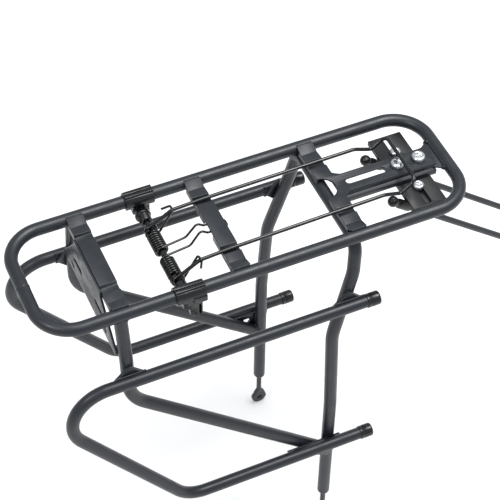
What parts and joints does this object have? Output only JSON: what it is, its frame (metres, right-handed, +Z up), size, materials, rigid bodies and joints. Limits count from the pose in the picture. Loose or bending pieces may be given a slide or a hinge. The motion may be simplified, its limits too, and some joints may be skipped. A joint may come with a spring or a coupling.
{
  "type": "rear rack",
  "caption": "Black tubular rear bicycle rack with a sprung wire bail, side hoops for panniers and adjustable front stays.",
  "frame": {"origin": "midway between the two dropout eyelets, on their common axis", "axes": "+X towards the front of the bicycle, +Y its left side, +Z up; the deck lies level"},
  "size_m": [0.5282, 0.196, 0.4178],
  "materials": {
    "frame_paint": "satin black powder coat",
    "black_plastic": "glossy moulded plastic",
    "black_wire": "glossy black coated spring wire",
    "matte_bracket": "matte black coating",
    "zinc": "bright zinc plate",
    "boot_rubber": "smooth black rubber"
  },
  "bodies": {
    "rack_frame": {"deck_loop": "frame_paint", "rear_bridge": "frame_paint", "middle_bridge": "frame_paint", "front_bridge": "frame_paint", "front_leg_arch": "frame_paint", "rear_leg_left": "frame_paint", "rear_leg_right": "frame_paint", "side_hoop_left": "frame_paint", "side_hoop_right": "frame_paint", "webs_left": "frame_paint", "webs_right": "frame_paint", "foot_web_left": "frame_paint", "foot_web_right": "frame_paint", "lamp_plate": "frame_paint", "dropout_tip_left": "frame_paint", "dropout_tip_right": "frame_paint", "hoop_caps": "black_plastic", "spring_bracket_left": "black_plastic", "spring_bracket_right": "black_plastic", "spring_axle": "black_wire", "spring_coils": "black_wire", "spring_leg": "black_wire", "crossbar": "matte_bracket", "backing_plate": "matte_bracket", "tongue_bolts": "zinc", "tongue_nuts": "zinc"},
    "bail_assembly": {"bail": "black_wire", "spring_hooks": "black_wire"},
    "hanger_left": {"stay_hanger_left": "matte_bracket", "stay_bolt_left": "zinc"},
    "barrel_left": {"stay_barrel_left": "zinc"},
    "stay_left": {"stay_rod_left": "frame_paint", "stay_boot_left": "boot_rubber"},
    "hanger_right": {"stay_hanger_right": "matte_bracket", "stay_bolt_right": "zinc"},
    "barrel_right": {"stay_barrel_right": "zinc"},
    "stay_right": {"stay_rod_right": "frame_paint", "stay_boot_right": "boot_rubber"}
  },
  "joints": [
    {"name": "bail_lift", "type": "hinge", "parent": "rack_frame", "child": "bail_assembly", "pos_m": [-0.1325, 0, 0.383], "axis": [0, -1, 0], "range_deg": [0, 95], "stiffness_Nm_per_rad": 1.2, "springref_deg": -57.3},
    {"name": "stay_shift_left", "type": "slide", "parent": "rack_frame", "child": "hanger_left", "axis": [0, 1, 0], "range_m": [0, 0.015]},
    {"name": "stay_tilt_left", "type": "hinge", "parent": "hanger_left", "child": "barrel_left", "pos_m": [0.1049, 0.0276, 0.363], "axis": [0, -1, 0], "range_deg": [-1, 30]},
    {"name": "stay_slide_left", "type": "slide", "parent": "barrel_left", "child": "stay_left", "axis": [0.7705, 0, -0.6374], "range_m": [-0.008, 0.007]},
    {"name": "stay_shift_right", "type": "slide", "parent": "rack_frame", "child": "hanger_right", "axis": [0, -1, 0], "range_m": [0, 0.015]},
    {"name": "stay_tilt_right", "type": "hinge", "parent": "hanger_right", "child": "barrel_right", "pos_m": [0.1049, -0.0276, 0.363], "axis": [0, -1, 0], "range_deg": [-1, 30]},
    {"name": "stay_slide_right", "type": "slide", "parent": "barrel_right", "child": "stay_right", "axis": [0.7705, 0, -0.6374], "range_m": [-0.008, 0.007]}
  ]
}
